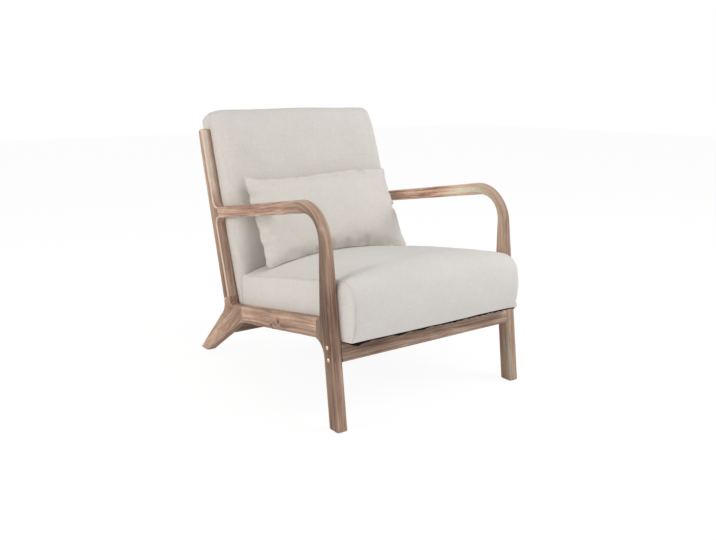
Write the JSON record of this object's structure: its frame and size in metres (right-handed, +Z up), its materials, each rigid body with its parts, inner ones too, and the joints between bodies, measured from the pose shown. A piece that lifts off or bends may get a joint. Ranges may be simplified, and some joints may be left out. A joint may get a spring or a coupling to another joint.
{
  "type": "lounge chair",
  "caption": "Lounge chair with an open wooden arm frame, a crowned upholstered seat, a leaning upholstered back and a loose lumbar pillow.",
  "frame": {"origin": "on the floor, in the middle of the chair's width and depth", "axes": "+X to the right when the chair is seen from the front, -Y towards the front of the chair, +Z up"},
  "size_m": [0.6536, 0.8572, 0.7859],
  "materials": {
    "frame_wood": "whitewashed, brushed grain, matt",
    "dowel_wood": "raw",
    "carcass_wood": "raw",
    "linen": "plain linen weave",
    "pillow_linen": "plain linen weave",
    "foam": "open cell foam",
    "filling": "loose fibre filling in a thin bag",
    "webbing": "elastic webbing",
    "dust_cloth": "black nonwoven",
    "brass": "brushed, warm",
    "zinc_steel": "zinc plated",
    "glide_plastic": "nylon"
  },
  "bodies": {
    "chair": {"front_rail": "frame_wood", "rear_rail": "frame_wood", "left_rear_post": "frame_wood", "left_armrest": "frame_wood", "left_arm_elbow": "frame_wood", "left_front_leg": "frame_wood", "left_side_rail": "frame_wood", "left_rear_leg": "frame_wood", "right_rear_post": "frame_wood", "right_armrest": "frame_wood", "right_arm_elbow": "frame_wood", "right_front_leg": "frame_wood", "right_side_rail": "frame_wood", "right_rear_leg": "frame_wood", "left_frame_dowels": "dowel_wood", "right_frame_dowels": "dowel_wood", "rear_rail_dowels": "dowel_wood", "seat_frame_left": "carcass_wood", "seat_frame_right": "carcass_wood", "seat_frame_front": "carcass_wood", "seat_frame_cross": "carcass_wood", "seat_frame_rear": "carcass_wood", "seat_corner_blocks": "carcass_wood", "back_frame_left": "carcass_wood", "back_frame_right": "carcass_wood", "back_frame_bottom": "carcass_wood", "back_frame_middle": "carcass_wood", "back_frame_top": "carcass_wood", "seat_webbing_lengthwise": "webbing", "seat_webbing_crosswise": "webbing", "back_webbing": "webbing", "seat_cover": "linen", "seat_rear_band": "linen", "back_cover": "linen", "back_rear_panel": "linen", "seat_foam": "foam", "back_foam": "foam", "seat_dust_cover": "dust_cloth", "front_rail_bolts": "brass", "front_rail_barrel_nuts": "zinc_steel", "seat_frame_screws": "zinc_steel", "back_frame_screws": "zinc_steel", "foot_glides": "glide_plastic"},
    "lumbar_pillow": {"pillow_cover": "pillow_linen", "pillow_insert": "filling"}
  },
  "joints": [
    {"name": "pillow_lift", "type": "slide", "parent": "chair", "child": "lumbar_pillow", "axis": [0, 0, 1], "range_m": [0, 0.45]}
  ]
}
